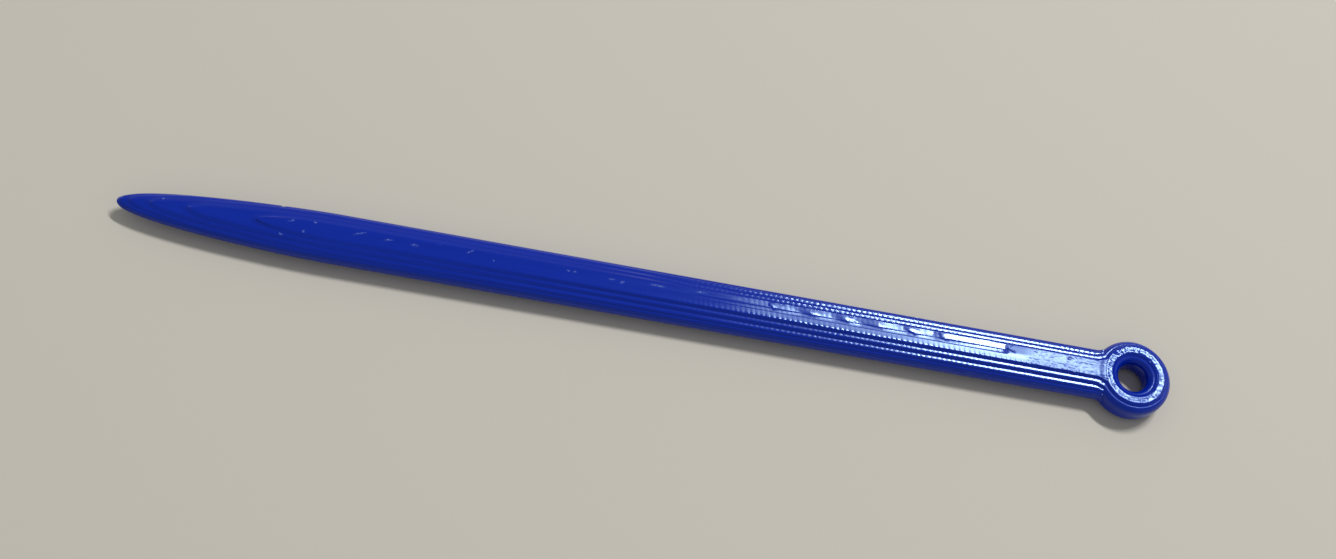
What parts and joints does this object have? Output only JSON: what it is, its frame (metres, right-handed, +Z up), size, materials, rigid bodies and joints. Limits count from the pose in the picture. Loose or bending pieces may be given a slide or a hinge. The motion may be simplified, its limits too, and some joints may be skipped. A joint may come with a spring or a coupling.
{
  "type": "craft needle",
  "caption": "Blunt-pointed craft needle with a long oval shank and a round ring eye, printed flat in glossy plastic layers; draws yarn or cord through coarse cloth.",
  "frame": {"origin": "middle of the needle's length and width, on the face that it rests on", "axes": "+X along the needle from its point towards its eye, +Y across it, +Z up through its layers"},
  "size_m": [0.1, 0.0074, 0.003],
  "materials": {
    "blue_plastic": "glossy royal-blue filament plastic, with fine layer steps and strand lines"
  },
  "bodies": {
    "root": {"shank_bottom_layer": "blue_plastic", "shank_layer_02": "blue_plastic", "shank_layer_03": "blue_plastic", "shank_layer_04": "blue_plastic", "shank_layer_05": "blue_plastic", "shank_layer_06": "blue_plastic", "shank_layer_07": "blue_plastic", "shank_layer_08": "blue_plastic", "shank_layer_09": "blue_plastic", "shank_layer_10": "blue_plastic", "shank_layer_11": "blue_plastic", "shank_top_layer": "blue_plastic", "eye_bottom_layer": "blue_plastic", "eye_layer_02": "blue_plastic", "eye_layer_03": "blue_plastic", "eye_layer_04": "blue_plastic", "eye_layer_05": "blue_plastic", "eye_layer_06": "blue_plastic", "eye_layer_07": "blue_plastic", "eye_layer_08": "blue_plastic", "eye_layer_09": "blue_plastic", "eye_layer_10": "blue_plastic", "eye_layer_11": "blue_plastic", "eye_top_layer": "blue_plastic"}
  },
  "joints": []
}
